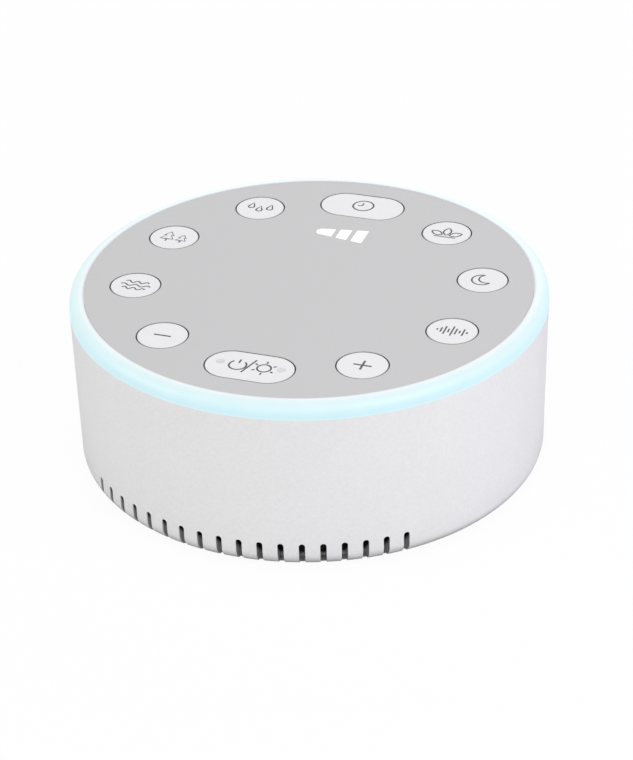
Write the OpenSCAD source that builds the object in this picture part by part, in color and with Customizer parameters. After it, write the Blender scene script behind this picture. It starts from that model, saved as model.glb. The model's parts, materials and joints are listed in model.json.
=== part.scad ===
// Bedside sound machine: a round puck with ten flush push keys, a light ring and a speaker
// that fires down and out through slots in the bottom edge.
// The front is -Y, up is +Z, and the rubber foot stands on z = 0.

/* [Body] */
// Overall diameter, at the light ring
body_d = 110; // [107:1:140]
// Overall height, from the rubber foot to the top of the light ring
body_h = 43; // [42.5:0.5:70]
// Thickness of the housing wall at its foot
wall_t = 2.25; // [1.5:0.05:3]
// How much smaller the wall's radius is at the foot than at the top
wall_draft = 0.75; // [0:0.05:1.5]
// Radius of the rounded bottom edge
edge_r = 3.5; // [2:0.1:4]
// How far the rubber foot stands proud of the underside
foot_h = 0.8; // [0.4:0.1:1.5]
// Mean diameter of the rubber foot ring
foot_ring_d = 70; // [50:1:74]
// Width of the rubber foot ring
foot_ring_w = 3.8; // [3:0.1:6]
// Thickness of the base cover
cover_t = 1.8; // [1.6:0.1:3]
// Thickness of the housing floor
floor_t = 2; // [1.5:0.1:3]
// Height of the sound chamber between the floor and the inner frame
chamber_h = 5.4; // [4:0.1:8]

/* [Top] */
// Width of the light ring, seen from above
ring_w = 3.3; // [3:0.1:4]
// Height of the light ring's visible side
ring_side = 3.64; // [3:0.02:6]
// Radius of the light ring's rounded shoulder
ring_round = 2.6; // [1:0.1:2.8]
// How far the light ring stands above the top plate
ring_crest = 0.1; // [0:0.05:0.5]
// Thickness of the top plate
plate_t = 1.8; // [1.4:0.1:2.5]

/* [Keys] */
// Diameter of the circle that the key centres lie on
key_circle_d = 79.6; // [76:0.2:81]
// Diameter of a round key, and width of an oblong one
key_d = 11.6; // [9:0.1:14]
// Length of an oblong key
wide_key_l = 20.4; // [16:0.2:24]
// Clear gap between a key and its aperture
key_gap = 0.2; // [0.1:0.05:0.4]
// How far a key travels when it is pressed
key_travel = 0.8; // [0.3:0.1:1]
// Width of the lip that holds a key under the plate, beyond the aperture
key_lip = 0.7; // [0.5:0.1:1]

/* [Level indicator] */
// Offset of the indicator to the right of the middle
level_x = -0.55; // [-1:0.05:1]
// Distance of the indicator behind the middle of the plate
level_y = 24.85; // [15:0.05:27]
// Length of the wedge that the windows make up
level_l = 12.25; // [10.5:0.05:16]
// Height of the wedge at its wide end
level_h = 6.5; // [4:0.1:7]
// Height of the wedge at its round tip
level_tip = 3; // [2:0.1:3.8]
// Width of each window but the one at the tip
level_bar = 2.95; // [2:0.05:3.4]
// Bar of the plate between two windows
level_gap = 0.95; // [0.7:0.05:1.2]

/* [Vents] */
// Number of slots
vent_count = 18; // [6:1:24]
// Angle from slot to slot, in degrees
vent_pitch = 5; // [4:0.5:7]
// Angle from the front to the middle of the row, in degrees, to the right when positive
vent_turn = -1.2; // [-3:0.1:3]
// Width of a slot
vent_w = 1.4; // [1:0.1:2]
// Height of the slot tops above the underside
vent_h = 6.4; // [4.8:0.1:8]

/* [Boards and switches] */
// Thickness of the main board
board_t = 1.6; // [1:0.1:2]
// Clear height between the top plate and the main board
board_drop = 6.7; // [6.4:0.1:8]
// Width of a key switch
switch_w = 6.2; // [5:0.1:7]
// Height of a key switch's body
switch_h = 3.6; // [3.4:0.1:3.9]
// Number of LEDs that light the ring
ring_led_count = 12; // [6:6:12]

/* [Speaker] */
// Diameter of the speaker's flange
speaker_d = 47; // [38:0.5:48]
// Distance of the speaker's axis in front of the middle
speaker_offset = 9; // [8:0.5:11]
// Travel of the cone each way
cone_travel = 1; // [0.5:0.1:1.2]
// Diameter of the speaker's magnet
magnet_d = 30; // [26:0.5:32]
// Outer diameter of the voice coil's former
coil_d = 13.4; // [12:0.2:14]

/* [Battery and inlet] */
// Diameter of the cell
cell_d = 18.4; // [14:0.1:18.6]
// Length of the cell
cell_l = 65; // [45:0.5:65.4]
// Width of the inlet socket
socket_w = 8.94; // [7:0.02:9.4]
// Height of the inlet socket
socket_h = 3.26; // [2.5:0.02:3.6]
// Width of the pocket that takes the plug's moulding
pocket_w = 13.2; // [11:0.1:16]
// Height of the pocket that takes the plug's moulding
pocket_h = 7.4; // [5:0.1:8.4]

/* [Hidden] */
$fn = 144;

// Clearances
cover_gap = 0.2;      // base cover in its recess
plate_gap = 0.15;     // top plate in the light ring, light ring in the housing
pipe_gap = 0.08;      // light pipe in its windows
screw_gap = 0.05;     // screw in its pilot hole
hole_gap = 0.15;      // screw through a clearance hole
slide_gap = 0.1;      // plunger in its switch
rest_gap = 0.05;      // a key's lip under the plate, a plunger's collar under its roof
coil_gap = 0.3;       // voice coil in the magnet's gap
cell_gap = 0.1;       // strap and saddles around the cell
board_gap = 0.5;      // main board in the light ring's skirt
head_gap = 0.3;       // screw head in its well
stop_gap = 0.2;       // between a pressed key and its switch
join = 0.1;           // how far two outlines of one section overlap
cut = 0.5;            // how far a cutter runs past the face that it opens

// Heights of the lower half
cover_top = foot_h + cover_t;
floor_top = cover_top + floor_t;
frame_z = floor_top + chamber_h;
frame_t = 2;
seal_w = 1;
frame_top = frame_z + frame_t;

// Heights of the upper half
joint_z = body_h - ring_side;
plate_top = body_h - ring_crest;
plate_z = plate_top - plate_t;
board_top = plate_z - board_drop;
board_z = board_top - board_t;

// Radii of the shells
body_r = body_d / 2;
base_r = body_r - wall_draft;
inner_r = base_r - wall_t;
cover_inset = 5;
cover_r = inner_r - cover_inset;
vent_band = 2;
vent_in_r = cover_r + cover_gap + vent_band;
ring_in_r = body_r - ring_w;
ledge_w = 1.8;
skirt_in_r = ring_in_r - ledge_w;
skirt_h = 2.96;

// Base cover, its screws and the foot
base_screw_r = 1.25;
base_screw_l = 7.8;
base_head_r = 2.4;
base_head_t = 0.9;
head_sink = 0.1;
boss_r = 3.6;
base_screw_inset = 4.5;
base_screw_circle_r = cover_r - base_screw_inset;
base_pilot_l = 6.8;
boss_margin = 0.9;
floor_in_r = base_screw_circle_r - boss_r - boss_margin;
spigot_w = 1.5;
spigot_h = floor_t - cover_gap;
rib_w = 1.2;
rib_h = 1.2;
rib_inset = 4;
rib_out_r = foot_ring_d / 2 - rib_inset;
hub_r = 5;
foot_sink = 0.8;
label_l = 34;
label_w = 20;
label_sink = 0.3;

// Main board and the pillars that carry it
board_r = skirt_in_r - board_gap;
pillar_r = 3.6;
pillar_circle_r = board_r - pillar_r;
PILLAR_ANGLES = [35, 145, 215, 325];
plate_boss_r = 3.2;
clamp_r = 1.25;
clamp_head_r = 2.3;
clamp_head_t = 1.6;
clamp_shelf = 2;
clamp_bite = 4.4;
well_r = clamp_head_r + head_gap;
led_w = 3.5;
led_l = 2.8;
led_h = 1.9;
led_lens_r = 1.1;
led_lens_sink = 0.3;
led_inset = 0.4;
led_circle_r = board_r - led_l / 2 - led_inset;
LEVEL_LED = [1.6, 0.8, 0.7];
CHIPS = [[[0, 0], [7, 7, 0.9]], [[-14, 5], [4.9, 3.9, 1.5]], [[12, -4], [5.2, 5.3, 1.8]]];
CAPACITORS = [[-17, -9], [-10, -13]];
capacitor_r = 2.5;
capacitor_h = 5.4;

// Keys and switches
cap_r = key_d / 2;
cap_edge = 0.35;
cap_roof = 1.2;
lip_t = 0.9;
lip_r = cap_r + key_gap + key_lip;
lip_top = plate_z - rest_gap;
lip_z = lip_top - lip_t;
post_r = 1.9;
key_count = 10;
key_circle_r = key_circle_d / 2;
plunger_r = 1.65;
plunger_out = key_travel + stop_gap;
plunger_top = board_top + switch_h + plunger_out;
collar_r = 2.3;
collar_t = 0.5;
switch_floor = 0.6;
switch_roof = 0.8;

// Level indicator
level_count = 3;
level_tip_r = level_tip / 2;
level_tip_x = level_tip_r - level_l / 2;
level_reach = level_l / 2 - level_tip_x;
level_slope = acos(level_tip_r / norm([level_h / 2, level_reach])) - atan2(level_reach, level_h / 2);
pipe_t = 1;
pipe_margin = 1.5;

// Speaker, facing down, from its gasket up
speaker_y = -speaker_offset;
speaker_r = speaker_d / 2;
flange_w = 3.9;
speaker_open_r = speaker_r - flange_w;
gasket_t = 0.8;
surround_t = 0.4;
roll_r = 1.3;
gasket_inset = 1.1;
gasket_out_r = speaker_r - gasket_inset;
gasket_lip = 0.3;
roll_inset = 0.7;
roll_out_r = speaker_open_r - roll_inset;
cone_r = roll_out_r - 2 * roll_r;
cone_lip = 1.5;
surround_z = frame_top + gasket_t;
flange_z = surround_z + surround_t;
flange_t = 0.9;
ear_r = 3;
ear_reach = 1.8;
ear_circle_r = speaker_r + ear_reach;
basket_t = 0.8;
shelf_rise = 6.4;
shelf_z = flange_z + shelf_rise;
can_h = 2.7;
can_r = 13.4;
spider_lip = 1.8;
window_w = 14;
window_h = 3.9;
window_rise = 0.8;
window_inset = 0.4;
basket_top = shelf_z + basket_t + can_h;
former_r = coil_d / 2;
former_t = 0.2;
winding_t = 0.4;
winding_over = cone_travel / 2;
former_over = 0.8;
washer_t = 2;
magnet_t = 4;
yoke_t = 1.6;
washer_inset = 1;
washer_r = magnet_d / 2 - washer_inset;
magnet_clear = 2.3;
pole_drop = 0.2;
spider_z = shelf_z - surround_t;
neck_gap = 0.1;
neck_z = spider_z - neck_gap;
TERMINALS = [2.4, 7, 1];
terminals_out_r = speaker_r - 0.1;

// Small screws of the speaker and the power board
small_r = 1;
small_head_r = 1.9;
small_head_t = 1.2;
small_l = 4.2;
small_boss_r = 2.4;
small_boss_drop = 2;

// Battery
pad_t = 0.8;
pad_l = 40;
pad_w = 6;
cell_r = cell_d / 2;
cell_clear = 1.3;
cell_y = speaker_y + speaker_r + cell_clear + cell_r;
cell_z = frame_top + pad_t + cell_r;
saddle_x = 24;
saddle_t = 2;
saddle_h = 5;
saddle_wall = 1.3;
strap_t = 0.6;
strap_w = 12;
tab_t = 0.3;
tab_h = 5;
tab_in = 3;
tab_over = 2;

// Inlet and power board
socket_wall = 0.3;
socket_l = 7.3;
socket_back = 0.5;
tongue_w = 6.7;
tongue_t = 0.7;
tongue_l = 5.4;
skin_t = 0.8;
slot_gap = 0.23;
power_board_l = 20;
power_board_w = 11;
power_board_t = 1.2;
power_board_rise = 1;
power_board_z = frame_top + power_board_rise;
power_board_top = power_board_z + power_board_t;
socket_gap = 0.3;
socket_front = sqrt(pow(inner_r, 2) - pow(socket_w / 2, 2)) - socket_gap;
socket_over = 4;
power_board_y = socket_front - socket_over - power_board_w;
socket_z = power_board_top + socket_h / 2;
power_screw_x = 7.8;
power_screw_in = 8;
power_screw_y = power_board_y + power_screw_in;
header_l = 8;
header_w = 3.4;
header_h = 3.4;
header_y = power_board_y + 0.5;

// Leads
lead_r = 0.55;
lead_sides = 8;
lead_steps = 16;
connector_l = 6;
connector_w = 5;
connector_h = 3.8;
speaker_plug = [-30, speaker_y];
speaker_pair = 1.5;
speaker_bend = 6;
battery_bend = 10;
power_plug = [7.5, power_board_y + 6];
power_pair = 1.2;
power_bend = 5;
power_pad_in = 4.6;

// A ring from radius r1 to r2 and from height z1 to z2
module ring(r1, r2, z1, z2) {
    translate([0, 0, z1])
        difference() {
            cylinder(r = r2, h = z2 - z1);
            translate([0, 0, -cut])
                cylinder(r = r1, h = z2 - z1 + 2 * cut);
        }
}

// A disc of radius r from height z1 to z2
module disc(r, z1, z2) {
    translate([0, 0, z1])
        cylinder(r = r, h = z2 - z1);
}

// Outline of an oblong with round ends, length l and width w
module oblong(l, w) {
    union() {
        translate([(l - w) / 2, 0])
            circle(d = w);
        translate([-(l - w) / 2, 0])
            circle(d = w);
        translate([-(l - w) / 2, -w / 2])
            square([l - w, w]);
    }
}

// Outline of a w by h rectangle with rounded corners
module soft_rectangle(w, h, r) {
    union() {
        translate([-w / 2 + r, -h / 2])
            square([w - 2 * r, h]);
        translate([-w / 2, -h / 2 + r])
            square([w, h - 2 * r]);
        for (x = [-1, 1], y = [-1, 1])
            translate([x * (w / 2 - r), y * (h / 2 - r)])
                circle(r = r);
    }
}

// Children at radius r and angle a, without turning them
module at_polar(r, a) {
    translate([r * cos(a), r * sin(a), 0])
        children();
}

// Cross recess for a screw head of radius r whose outer face is at z = 0
module cross_recess(r) {
    arm = 1.3 * r;
    wide = 0.3 * r;
    depth = 0.5;
    for (a = [0, 90])
        rotate([0, 0, a])
            translate([-arm / 2, -wide / 2, -depth])
                cube([arm, wide, 2 * depth]);
}

// A screw that points up, with its head below z = 0
module screw(head_r, head_t, shank_r, shank_l) {
    difference() {
        translate([0, 0, -head_t])
            cylinder(r = head_r, h = head_t);
        translate([0, 0, -head_t])
            cross_recess(head_r);
    }
    cylinder(r = shank_r, h = shank_l);
}

// Angle and place of key number i, counted from the front anticlockwise
function key_angle(i) = 270 + i * 360 / key_count;
function is_wide(i) = i % (key_count / 2) == 0;
function key_length(i) = is_wide(i) ? wide_key_l : key_d;

module at_key(i) {
    at_polar(key_circle_r, key_angle(i))
        children();
}

module at_keys() {
    for (i = [0 : key_count - 1])
        at_key(i)
            children();
}

module at_pillars() {
    for (a = PILLAR_ANGLES)
        at_polar(pillar_circle_r, a)
            children();
}

module at_base_screws() {
    for (a = [0 : 90 : 270])
        at_polar(base_screw_circle_r, a)
            children();
}

module at_speaker_screws() {
    translate([0, speaker_y, 0])
        for (a = [45 : 90 : 315])
            at_polar(ear_circle_r, a)
                children();
}

module at_power_screws() {
    for (x = [-1, 1])
        translate([x * power_screw_x, power_screw_y, 0])
            children();
}

// ---- Shells ----

// Half section of the housing: a drafted wall over a rounded bottom edge
module housing_section() {
    edge_z = foot_h + edge_r;
    difference() {
        union() {
            translate([0, foot_h])
                square([base_r - edge_r, edge_r]);
            translate([base_r - edge_r, edge_z])
                circle(r = edge_r);
            polygon([[0, edge_z], [base_r, edge_z], [body_r, joint_z], [0, joint_z]]);
        }
        translate([-cut, floor_top])
            square([inner_r + cut, body_h]);
        translate([-cut, 0])
            square([floor_in_r + cut, body_h]);
        translate([-cut, 0])
            square([cover_r + cover_gap + cut, cover_top]);
    }
}

// One vent: a slot with a round top, open at the underside
module vent_cutter() {
    reach = body_r - vent_in_r + cut;
    translate([vent_in_r, 0, foot_h])
        rotate([90, 0, 90])
            linear_extrude(reach)
                union() {
                    translate([-vent_w / 2, -cut])
                        square([vent_w, vent_h - vent_w / 2 + cut]);
                    translate([0, vent_h - vent_w / 2])
                        circle(d = vent_w);
                }
}

module housing() {
    color("whitesmoke")
        difference() {
            rotate_extrude()
                housing_section();
            for (i = [0 : vent_count - 1])
                rotate([0, 0, 270 + vent_turn + (i - (vent_count - 1) / 2) * vent_pitch])
                    vent_cutter();
            translate([0, inner_r + skin_t, socket_z])
                rotate([-90, 0, 0])
                    linear_extrude(wall_t + wall_draft + cut)
                        oblong(pocket_w, pocket_h);
            translate([0, inner_r - wall_t, socket_z])
                rotate([-90, 0, 0])
                    linear_extrude(2 * wall_t)
                        oblong(socket_w + 2 * slot_gap, socket_h + 2 * slot_gap);
            at_base_screws()
                disc(base_screw_r + hole_gap, cover_top - cut, floor_top + cut);
        }
}

module base_cover() {
    ring_r = foot_ring_d / 2;
    color("gainsboro")
        difference() {
            union() {
                disc(cover_r, foot_h, cover_top);
                ring(floor_in_r - cover_gap - spigot_w, floor_in_r - cover_gap,
                    cover_top - cut, cover_top + spigot_h);
                disc(hub_r, cover_top - cut, cover_top + rib_h);
                for (a = [0 : 45 : 315])
                    rotate([0, 0, a])
                        translate([hub_r - cut, -rib_w / 2, cover_top - cut])
                            cube([rib_out_r - hub_r + cut, rib_w, rib_h + cut]);
            }
            ring(ring_r - foot_ring_w / 2 - screw_gap, ring_r + foot_ring_w / 2 + screw_gap,
                foot_h - cut, foot_h + foot_sink);
            at_base_screws() {
                disc(base_screw_r + hole_gap, 0, floor_top);
                disc(base_head_r + head_gap, foot_h - cut, foot_h + base_head_t + head_sink);
            }
            translate([0, 0, foot_h - cut])
                linear_extrude(cut + label_sink)
                    soft_rectangle(label_l, label_w, 2);
        }
}

module foot_ring() {
    ring_r = foot_ring_d / 2;
    half_w = foot_ring_w / 2;
    chamfer = foot_h / 2;
    color("dimgray")
        rotate_extrude()
            polygon([
                [ring_r - half_w + chamfer, 0],
                [ring_r + half_w - chamfer, 0],
                [ring_r + half_w, chamfer],
                [ring_r + half_w, foot_h + foot_sink],
                [ring_r - half_w, foot_h + foot_sink],
                [ring_r - half_w, chamfer]
            ]);
}

module base_screws() {
    color("silver")
        at_base_screws()
            translate([0, 0, foot_h + base_head_t + head_sink])
                screw(base_head_r, base_head_t, base_screw_r, base_screw_l);
}

// ---- Top ----

// Half the wedge's height at x, and where window i ends at its wide side
function wedge_half(x) = level_tip_r / cos(level_slope) + (x - level_tip_x) * tan(level_slope);
function window_right(i) = level_l / 2 - (level_count - 1 - i) * (level_bar + level_gap);

// Window i of the wedge, larger by grow all round; the first one ends in the round tip
module level_window(i, grow) {
    tip_r = level_tip_r + grow;
    right = window_right(i) + grow;
    left = i == 0 ? level_tip_x - tip_r * sin(level_slope) : right - level_bar - 2 * grow;
    edge = grow / cos(level_slope);
    left_half = wedge_half(left) + edge;
    right_half = wedge_half(right) + edge;
    translate([level_x, level_y])
        union() {
            polygon([[left, -left_half], [right, -right_half], [right, right_half], [left, left_half]]);
            if (i == 0)
                translate([level_tip_x, 0])
                    circle(r = tip_r);
        }
}

module top_plate() {
    color("silver")
        difference() {
            union() {
                disc(ring_in_r - plate_gap, plate_z, plate_top);
                at_pillars()
                    disc(plate_boss_r, board_top, plate_z + plate_t / 2);
            }
            for (i = [0 : key_count - 1])
                at_key(i)
                    translate([0, 0, plate_z - cut])
                        linear_extrude(plate_t + 2 * cut)
                            if (is_wide(i))
                                oblong(wide_key_l + 2 * key_gap, key_d + 2 * key_gap);
                            else
                                circle(d = key_d + 2 * key_gap);
            translate([0, 0, plate_z - cut])
                linear_extrude(plate_t + 2 * cut)
                    for (i = [0 : level_count - 1])
                        level_window(i, 0);
            at_pillars()
                disc(clamp_r + screw_gap, board_top - cut, board_top + clamp_bite + cut);
        }
}

// Half section of the light ring: a rounded crown, a ledge for the plate and a skirt
module light_ring_section() {
    corner = body_r - ring_round;
    corner_z = body_h - ring_round;
    union() {
        translate([ring_in_r, joint_z])
            square([corner - ring_in_r, ring_side]);
        translate([ring_in_r, joint_z])
            square([ring_w, ring_side - ring_round]);
        intersection() {
            translate([corner, corner_z])
                circle(r = ring_round);
            translate([corner, corner_z])
                square([ring_round, ring_round]);
        }
        translate([skirt_in_r, joint_z - skirt_h])
            square([inner_r - plate_gap - skirt_in_r, skirt_h + plate_z - joint_z]);
    }
}

module light_ring() {
    color("paleturquoise")
        rotate_extrude()
            light_ring_section();
}

module level_light_pipe() {
    slab_l = level_l + 2 * pipe_margin;
    slab_w = level_h + 2 * pipe_margin;
    color("white")
        union() {
            translate([level_x, level_y, plate_z - pipe_t])
                linear_extrude(pipe_t)
                    soft_rectangle(slab_l, slab_w, 1);
            translate([0, 0, plate_z - pipe_t / 2])
                linear_extrude(plate_t + pipe_t / 2)
                    for (i = [0 : level_count - 1])
                        level_window(i, -pipe_gap);
        }
}

// ---- Keys and switches ----

// Half section of a key cap, out to its lip
module cap_section() {
    union() {
        translate([0, lip_z])
            square([cap_r, plate_top - cap_edge - lip_z]);
        translate([0, plate_top - cap_edge])
            square([cap_r - cap_edge, cap_edge]);
        translate([cap_r - cap_edge, plate_top - cap_edge])
            circle(r = cap_edge);
        translate([0, lip_z])
            square([lip_r, lip_t]);
    }
}

// Outside of a key cap whose round ends are l apart
module cap_outside(l) {
    if (l > 0) {
        for (side = [-1, 1])
            translate([side * l / 2, 0, 0])
                rotate([0, 0, -90 * side])
                    rotate_extrude(angle = 180)
                        cap_section();
        translate([-l / 2, 0, 0])
            rotate([90, 0, 90])
                linear_extrude(l)
                    union() {
                        cap_section();
                        mirror([1, 0])
                            cap_section();
                    }
    } else {
        rotate_extrude()
            cap_section();
    }
}

module key_cap(i) {
    l = key_length(i);
    color("white")
        at_key(i)
            union() {
                difference() {
                    cap_outside(l - key_d);
                    translate([0, 0, lip_z - cut])
                        linear_extrude(plate_top - cap_roof - lip_z + cut)
                            if (is_wide(i))
                                oblong(l - 2 * cap_roof, key_d - 2 * cap_roof);
                            else
                                circle(d = key_d - 2 * cap_roof);
                }
                disc(post_r, plunger_top, plate_top - cap_roof / 2);
            }
}

module switch_bodies() {
    room_z = board_top + switch_floor;
    roof_z = board_top + switch_h - switch_roof;
    color("dimgray")
        at_keys()
            difference() {
                translate([-switch_w / 2, -switch_w / 2, board_top])
                    cube([switch_w, switch_w, switch_h]);
                disc(collar_r + slide_gap, room_z, roof_z);
                disc(plunger_r + slide_gap, roof_z - switch_roof / 2, board_top + switch_h + cut);
            }
}

module switch_plunger(i) {
    collar_top = board_top + switch_h - switch_roof - rest_gap;
    color("lightgray")
        at_key(i)
            union() {
                disc(plunger_r, collar_top - collar_t, plunger_top);
                disc(collar_r, collar_top - collar_t, collar_top);
            }
}

module key_power() { key_cap(0); }
module key_plus() { key_cap(1); }
module key_noise() { key_cap(2); }
module key_calm() { key_cap(3); }
module key_relax() { key_cap(4); }
module key_timer() { key_cap(5); }
module key_rain() { key_cap(6); }
module key_forest() { key_cap(7); }
module key_ocean() { key_cap(8); }
module key_minus() { key_cap(9); }
module plunger_power() { switch_plunger(0); }
module plunger_plus() { switch_plunger(1); }
module plunger_noise() { switch_plunger(2); }
module plunger_calm() { switch_plunger(3); }
module plunger_relax() { switch_plunger(4); }
module plunger_timer() { switch_plunger(5); }
module plunger_rain() { switch_plunger(6); }
module plunger_forest() { switch_plunger(7); }
module plunger_ocean() { switch_plunger(8); }
module plunger_minus() { switch_plunger(9); }

// ---- Main board and what is soldered to it ----

module main_board() {
    color("seagreen")
        difference() {
            disc(board_r, board_z, board_top);
            at_pillars()
                disc(clamp_r + hole_gap, board_z - cut, board_top + cut);
        }
}

module ring_leds() {
    step = 360 / ring_led_count;
    color("lightyellow")
        for (i = [0 : ring_led_count - 1])
            rotate([0, 0, (i + 0.5) * step])
                translate([led_circle_r, 0, board_top])
                    difference() {
                        translate([-led_l / 2, -led_w / 2, 0])
                            cube([led_l, led_w, led_h]);
                        disc(led_lens_r, led_h - led_lens_sink, led_h + cut);
                    }
}

module level_leds() {
    color("lightyellow")
        for (i = [0 : level_count - 1])
            translate([level_x + window_right(i) - level_bar / 2, level_y, board_top])
                translate([-LEVEL_LED[0] / 2, -LEVEL_LED[1] / 2, 0])
                    cube(LEVEL_LED);
}

// A chip of size [x, y, z] centred on p, with its first-pin dimple
module chip(p, size) {
    mark_r = 0.4;
    mark_in = 1;
    mark_sink = 0.1;
    translate([p[0], p[1], board_top])
        difference() {
            translate([-size[0] / 2, -size[1] / 2, 0])
                cube(size);
            translate([-size[0] / 2 + mark_in, size[1] / 2 - mark_in, size[2] - mark_sink])
                cylinder(r = mark_r, h = cut);
        }
}

module board_chips() {
    color("black")
        for (c = CHIPS)
            chip(c[0], c[1]);
}

module board_capacitors() {
    color("silver")
        for (p = CAPACITORS)
            translate([p[0], p[1], 0])
                disc(capacitor_r, board_top, board_top + capacitor_h);
}

module board_connectors() {
    color("ivory")
        for (p = [speaker_plug, power_plug])
            translate([p[0] - connector_w / 2, p[1] - connector_l / 2, board_z - connector_h])
                cube([connector_w, connector_l, connector_h]);
}

module clamp_screws() {
    shank_l = clamp_shelf + board_t + clamp_bite;
    color("silver")
        at_pillars()
            translate([0, 0, board_z - clamp_shelf])
                screw(clamp_head_r, clamp_head_t, clamp_r, shank_l);
}

// ---- Inner frame ----

// Two saddles that the cell lies in
module saddles() {
    reach = sqrt(pow(cell_r + cell_gap, 2) - pow(cell_z - frame_top - saddle_h, 2));
    half = reach + saddle_wall;
    for (side = [-1, 1])
        translate([side * saddle_x - saddle_t / 2, cell_y - half, frame_top - frame_t / 2])
            cube([saddle_t, 2 * half, saddle_h + frame_t / 2]);
}

module inner_frame() {
    frame_r = inner_r - plate_gap - seal_w;
    rim_w = 1.2;
    small_pilot = small_r + screw_gap;
    color("lightgray")
        difference() {
            union() {
                disc(frame_r, frame_z, frame_top);
                ring(frame_r - rim_w, frame_r, frame_top - frame_t / 2, frame_top + rim_w);
                at_pillars()
                    disc(pillar_r, frame_top - frame_t / 2, board_z);
                at_base_screws()
                    disc(boss_r, floor_top, frame_top - frame_t / 2);
                at_speaker_screws()
                    disc(small_boss_r, frame_z - small_boss_drop, flange_z);
                at_power_screws()
                    disc(small_boss_r, frame_z - small_boss_drop, power_board_z);
                saddles();
            }
            translate([0, speaker_y, 0])
                disc(speaker_open_r, frame_z - cut, frame_top + cut);
            at_pillars() {
                disc(well_r, frame_z - cut, board_z - clamp_shelf);
                disc(clamp_r + hole_gap, board_z - clamp_shelf - cut, board_z + cut);
            }
            at_base_screws()
                disc(base_screw_r + screw_gap, floor_top - cut, floor_top + base_pilot_l);
            at_speaker_screws()
                disc(small_pilot, flange_z - small_l, flange_z + cut);
            at_power_screws()
                disc(small_pilot, power_board_z - small_l, power_board_z + cut);
            translate([-cell_l / 2, cell_y, cell_z])
                rotate([0, 90, 0])
                    cylinder(r = cell_r + cell_gap, h = cell_l);
        }
}

module frame_seal() {
    color("dimgray")
        ring(inner_r - plate_gap - seal_w, inner_r, frame_z, frame_top);
}

module small_screws() {
    color("silver") {
        at_speaker_screws()
            translate([0, 0, flange_z + flange_t])
                mirror([0, 0, 1])
                    screw(small_head_r, small_head_t, small_r, small_l);
        at_power_screws()
            translate([0, 0, power_board_top])
                mirror([0, 0, 1])
                    screw(small_head_r, small_head_t, small_r, small_l);
    }
}

// ---- Speaker ----

module speaker_gasket() {
    color("black")
        translate([0, speaker_y, 0])
            ring(speaker_open_r + gasket_lip, gasket_out_r, frame_top, surround_z);
}

// Half section of the surround: a lip on the gasket, a half roll and a lip under the cone
module surround_section() {
    roll_x = roll_out_r - roll_r;
    mid_z = surround_z + surround_t / 2;
    reach = roll_r + surround_t;
    union() {
        translate([roll_out_r - join, surround_z])
            square([gasket_out_r - roll_out_r + join, surround_t]);
        translate([cone_r - cone_lip, surround_z])
            square([cone_lip + join, surround_t]);
        intersection() {
            difference() {
                translate([roll_x, mid_z])
                    circle(r = roll_r + surround_t / 2);
                translate([roll_x, mid_z])
                    circle(r = roll_r - surround_t / 2);
            }
            translate([roll_x - reach, mid_z - reach])
                square([2 * reach, reach]);
        }
    }
}

module speaker_surround() {
    color("black")
        translate([0, speaker_y, 0])
            rotate_extrude()
                surround_section();
}

module speaker_basket() {
    wall_x = speaker_open_r + 1;
    shelf_x = can_r + basket_t + spider_lip;
    hole_r = former_r + 1.3;
    basket_wall = 0.6;
    slope_drop = 0.2;
    window_x = can_r + basket_t + window_inset;
    window_z = flange_z + flange_t + window_rise;
    color("darkgray")
        translate([0, speaker_y, 0])
            difference() {
                union() {
                    rotate_extrude()
                        polygon([
                            [speaker_open_r, flange_z],
                            [speaker_r, flange_z],
                            [speaker_r, flange_z + flange_t],
                            [wall_x, flange_z + flange_t],
                            [shelf_x, shelf_z + basket_t],
                            [can_r + basket_t, shelf_z + basket_t],
                            [can_r + basket_t, basket_top],
                            [hole_r, basket_top],
                            [hole_r, basket_top - basket_t],
                            [can_r, basket_top - basket_t],
                            [can_r, shelf_z],
                            [shelf_x - basket_wall, shelf_z],
                            [speaker_open_r, flange_z + flange_t - slope_drop]
                        ]);
                    for (a = [45 : 90 : 315])
                        at_polar(ear_circle_r, a)
                            disc(ear_r, flange_z, flange_z + flange_t);
                }
                disc(speaker_open_r - slope_drop, flange_z - cut, flange_z + flange_t / 2);
                for (a = [0 : 90 : 270])
                    rotate([0, 0, a])
                        translate([window_x, -window_w / 2, window_z])
                            cube([speaker_r, window_w, window_h]);
                for (a = [45 : 90 : 315])
                    at_polar(ear_circle_r, a)
                        disc(small_r + hole_gap, flange_z - cut, flange_z + flange_t + cut);
            }
}

module speaker_washer() {
    color("silver")
        translate([0, speaker_y, 0])
            ring(former_r + winding_t + coil_gap, washer_r, basket_top, basket_top + washer_t);
}

module speaker_magnet() {
    magnet_z = basket_top + washer_t;
    color("dimgray")
        translate([0, speaker_y, 0])
            ring(former_r + magnet_clear, magnet_d / 2, magnet_z, magnet_z + magnet_t);
}

module speaker_yoke() {
    yoke_z = basket_top + washer_t + magnet_t;
    color("silver")
        translate([0, speaker_y, 0])
            union() {
                disc(washer_r, yoke_z, yoke_z + yoke_t);
                disc(former_r - former_t - coil_gap, basket_top - pole_drop, yoke_z + yoke_t / 2);
            }
}

// Half section of the spider: a lip under the basket's shelf and three rolls in to the former
module speaker_spider() {
    wave_in = former_r + 1;
    wave_out = can_r - 0.2;
    waves = 3;
    steps = 24;
    height = 0.35;
    line = [for (k = [0 : steps])
        [wave_in + (wave_out - wave_in) * k / steps,
            spider_z - height * (1 - cos(360 * waves * k / steps)) / 2]];
    back = [for (k = [steps : -1 : 0]) line[k] + [0, surround_t]];
    outline = concat(
        [[former_r, spider_z]], line, [[can_r + spider_lip, spider_z], [can_r + spider_lip, shelf_z]],
        back, [[former_r, shelf_z]]);
    color("goldenrod")
        translate([0, speaker_y, 0])
            rotate_extrude()
                polygon(outline);
}

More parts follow.
